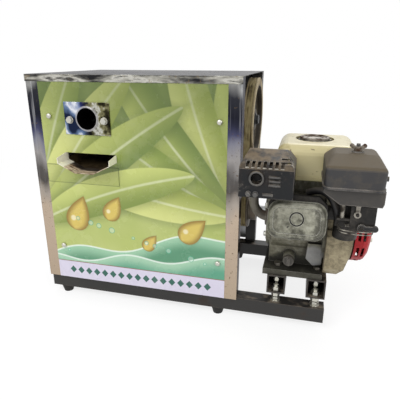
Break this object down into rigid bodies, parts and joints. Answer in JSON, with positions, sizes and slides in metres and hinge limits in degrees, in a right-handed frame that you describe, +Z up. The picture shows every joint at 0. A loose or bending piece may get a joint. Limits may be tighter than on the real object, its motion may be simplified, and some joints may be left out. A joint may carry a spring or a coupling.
{
  "type": "sugarcane juicer",
  "caption": "Tabletop sugarcane juicer: steel cabinet with crushing rollers and gear train, belt driven by a small petrol engine on the same base.",
  "frame": {"origin": "bottom centre of the machine's box, on the ground under the feet", "axes": "+X towards the engine, +Y towards the back where the pressed cane leaves, +Z up"},
  "size_m": [0.6692, 0.431, 0.4812],
  "materials": {
    "bright_steel": "polished stainless sheet",
    "stained_steel": "polished sheet stained by juice",
    "sheet_steel": "brushed stainless sheet",
    "print": "printed gloss sheet in pale greens",
    "black_paint": "worn black paint",
    "foot_rubber": "matt black rubber",
    "zinc": "zinc plated fasteners",
    "plate_iron": "grey painted plate",
    "gear_iron": "oiled iron",
    "turned_steel": "turned steel",
    "bronze": "bearing bronze",
    "belt_rubber": "ribbed belt rubber",
    "alloy": "dull cast alloy, oily",
    "beige_paint": "dusty beige paint",
    "red_plastic": "red moulding",
    "cream_paint": "aged cream paint",
    "black_plastic": "matt black moulding",
    "brown_plastic": "dusty brown-grey moulding",
    "sooty_steel": "heat-darkened sheet",
    "dark_alloy": "dark die-cast alloy"
  },
  "bodies": {
    "frame": {"post_front_left": "bright_steel", "post_front_right": "bright_steel", "post_rear_left": "bright_steel", "top_cover": "bright_steel", "inlet_plate": "bright_steel", "juice_chute": "stained_steel", "juice_tray": "stained_steel", "left_panel": "sheet_steel", "back_panel": "sheet_steel", "waste_chute": "sheet_steel", "turn_plate": "sheet_steel", "front_panel": "print", "base_rail_front": "black_paint", "base_rail_rear": "black_paint", "bearer_left": "black_paint", "bearer_right": "black_paint", "post_rear_right": "black_paint", "rubber_feet": "foot_rubber", "bearer_studs": "zinc", "panel_screws": "zinc", "inlet_bolts": "zinc", "engine_bolts": "zinc", "plate_left": "plate_iron", "plate_mid": "plate_iron", "plate_gear": "plate_iron", "plate_pulley": "plate_iron", "shaft_bushes": "bronze", "v_belt": "belt_rubber", "crankcase": "alloy", "head_cover": "alloy", "fan_cover": "beige_paint", "recoil_cover": "red_plastic", "fuel_tank": "cream_paint", "air_base": "black_plastic", "air_cover": "brown_plastic", "muffler": "sooty_steel", "muffler_guard": "sooty_steel", "exhaust_elbow": "sooty_steel", "carburettor": "dark_alloy", "cylinder_block": "dark_alloy"},
    "crank": {"crankshaft": "turned_steel", "engine_drive": "gear_iron"},
    "jack": {"jack_shaft": "turned_steel", "drive_pulley": "gear_iron"},
    "inter": {"inter_shaft": "turned_steel", "inter_gear": "gear_iron"},
    "front_roll": {"roller_front": "turned_steel", "gear_front": "gear_iron", "bull_gear": "gear_iron"},
    "top_roll": {"roller_top": "turned_steel", "gear_top": "gear_iron"},
    "rear_roll": {"roller_rear": "turned_steel", "gear_rear": "gear_iron"},
    "tank_cap": {"fuel_cap": "zinc"},
    "cleaner_nut": {"wing_nut": "zinc"},
    "throttle": {"throttle_lever": "zinc"},
    "choke": {"choke_lever": "zinc"},
    "fuel_tap": {"fuel_lever": "black_plastic"},
    "stop_knob": {"stop_switch": "red_plastic"},
    "oil_plug": {"oil_cap": "black_plastic"}
  },
  "joints": [
    {"name": "crank_spin", "type": "hinge", "parent": "frame", "child": "crank", "pos_m": [0.1316, -0.0015, 0.205], "axis": [-1, 0, 0], "continuous": true},
    {"name": "jack_spin", "type": "hinge", "parent": "frame", "child": "jack", "pos_m": [-0.0084, 0.0835, 0.383], "axis": [-1, 0, 0], "continuous": true},
    {"name": "inter_spin", "type": "hinge", "parent": "frame", "child": "inter", "pos_m": [-0.1084, 0.02894, 0.29905], "axis": [-1, 0, 0], "continuous": true},
    {"name": "front_roll_spin", "type": "hinge", "parent": "frame", "child": "front_roll", "pos_m": [-0.2074, -0.024, 0.37337], "axis": [-1, 0, 0], "continuous": true},
    {"name": "top_roll_spin", "type": "hinge", "parent": "frame", "child": "top_roll", "pos_m": [-0.2074, 0.0145, 0.43063], "axis": [-1, 0, 0], "continuous": true},
    {"name": "rear_roll_spin", "type": "hinge", "parent": "frame", "child": "rear_roll", "pos_m": [-0.2074, 0.053, 0.37337], "axis": [-1, 0, 0], "continuous": true},
    {"name": "tank_cap_turn", "type": "hinge", "parent": "frame", "child": "tank_cap", "pos_m": [0.2166, -0.0265, 0.367], "axis": [0, 0, 1], "range_deg": [0, 90]},
    {"name": "cleaner_nut_turn", "type": "hinge", "parent": "frame", "child": "cleaner_nut", "pos_m": [0.2806, -0.1515, 0.379], "axis": [0, 0, 1], "continuous": true},
    {"name": "throttle_swing", "type": "hinge", "parent": "frame", "child": "throttle", "pos_m": [0.2646, -0.1185, 0.284], "axis": [0, 0, 1], "range_deg": [-30, 25]},
    {"name": "choke_swing", "type": "hinge", "parent": "frame", "child": "choke", "pos_m": [0.2886, -0.1805, 0.277], "axis": [0, 1, 0], "range_deg": [0, 60]},
    {"name": "fuel_tap_swing", "type": "hinge", "parent": "frame", "child": "fuel_tap", "pos_m": [0.2966, -0.1815, 0.256], "axis": [0, 1, 0], "range_deg": [0, 90]},
    {"name": "stop_knob_turn", "type": "hinge", "parent": "frame", "child": "stop_knob", "pos_m": [0.2676, 0.0985, 0.205], "axis": [0, 1, 0], "range_deg": [0, 60]},
    {"name": "oil_plug_turn", "type": "hinge", "parent": "frame", "child": "oil_plug", "pos_m": [0.1866, -0.0915, 0.139], "axis": [0, -1, 0], "range_deg": [0, 360]}
  ],
  "couplings": [
    {"joint": "jack_spin", "follows": "crank_spin", "ratio": 0.40476},
    {"joint": "inter_spin", "follows": "crank_spin", "ratio": -0.095569},
    {"joint": "front_roll_spin", "follows": "crank_spin", "ratio": 0.029012},
    {"joint": "top_roll_spin", "follows": "crank_spin", "ratio": -0.029012},
    {"joint": "rear_roll_spin", "follows": "crank_spin", "ratio": 0.029012}
  ]
}
